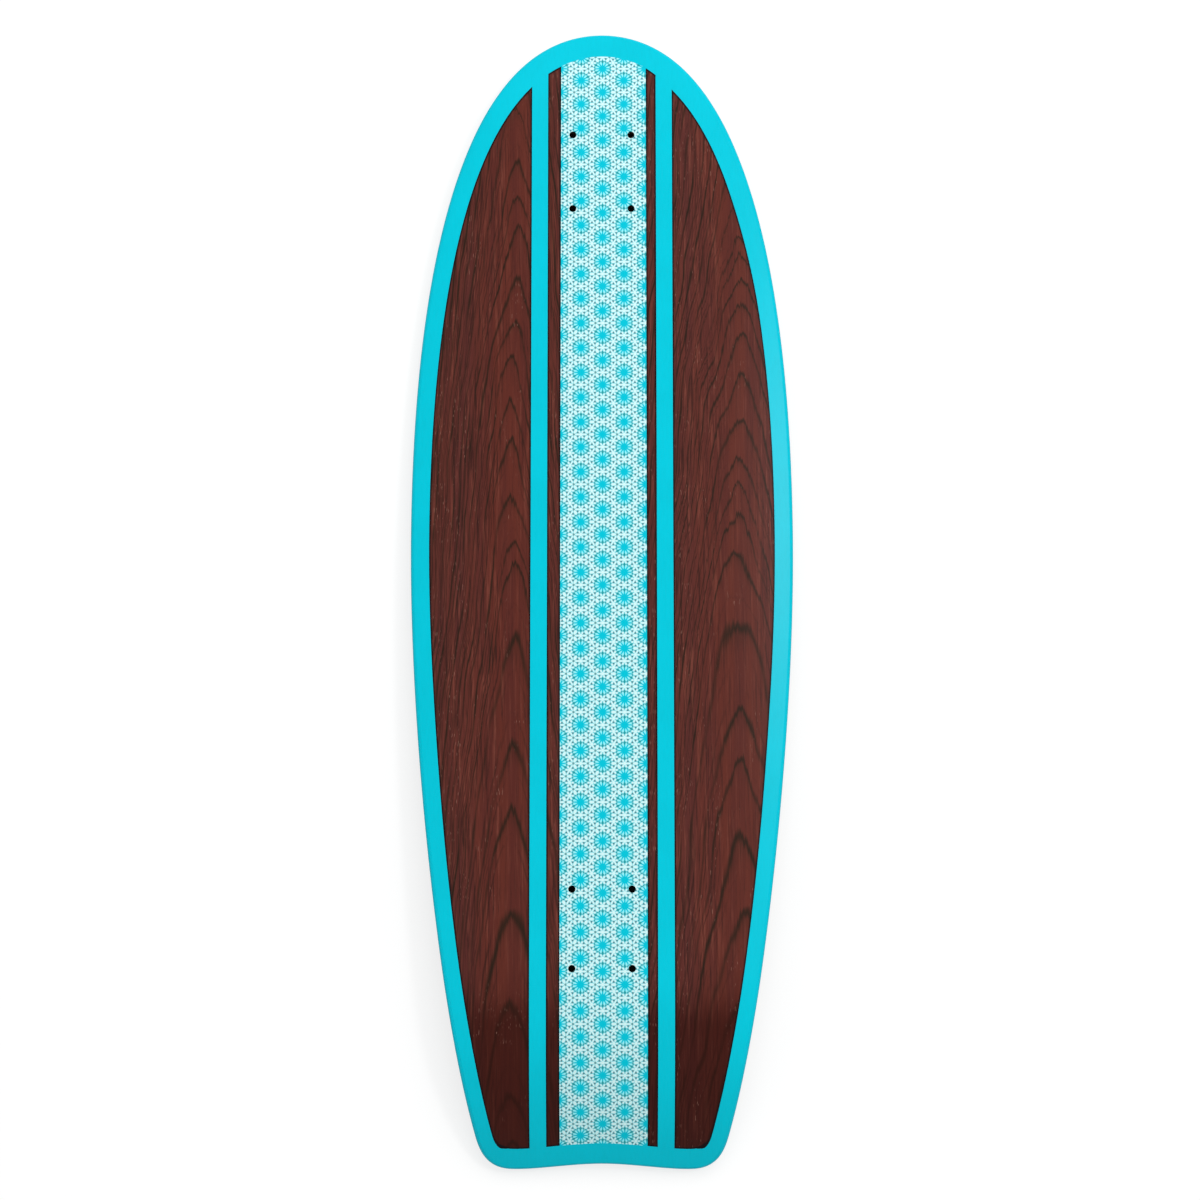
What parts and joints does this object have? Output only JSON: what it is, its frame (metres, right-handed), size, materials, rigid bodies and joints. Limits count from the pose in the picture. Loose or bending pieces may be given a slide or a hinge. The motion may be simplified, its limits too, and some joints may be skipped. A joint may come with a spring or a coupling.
{
  "type": "skateboard deck",
  "caption": "Bare surf-style skateboard deck: pressed veneer stack with kicked, notched tail, printed underside, painted edge, grip sheet and open truck bolt holes",
  "frame": {"origin": "Middle of the bounding box in X and Y, at the height of its lowest point, which is the riding side of the tail lobes. The deck lies with its riding side down.", "axes": "+Y runs along the deck towards the nose, +X to the right as the printed underside is seen with the nose away, and +Z points out of the printed underside, square to the flat middle where the trucks bolt on."},
  "size_m": [0.2678, 0.8004, 0.0509],
  "materials": {
    "dark_veneer": "dark red-brown stained face veneer with open straight and cathedral grain, satin lacquer",
    "maple": "plain pale maple veneer, glued; its edge is painted over",
    "grip": "black mineral-grit grip sheet, self-adhesive, very rough",
    "cyan_ink": "opaque cyan screen-print ink under satin lacquer",
    "panel_ink": "near-white print with a hexagonal lattice of cyan rosettes, under satin lacquer",
    "edge_paint": "cyan paint round the rounded edge, satin"
  },
  "bodies": {
    "root": {"underside_face_ply": "dark_veneer", "underside_long_ply": "maple", "underside_cross_ply": "maple", "core_ply": "maple", "riding_cross_ply": "maple", "riding_long_ply": "maple", "riding_face_ply": "maple", "grip_sheet": "grip", "border_print": "cyan_ink", "left_stripe_print": "cyan_ink", "right_stripe_print": "cyan_ink", "centre_panel_print": "panel_ink", "edge_paint": "edge_paint"}
  },
  "joints": []
}
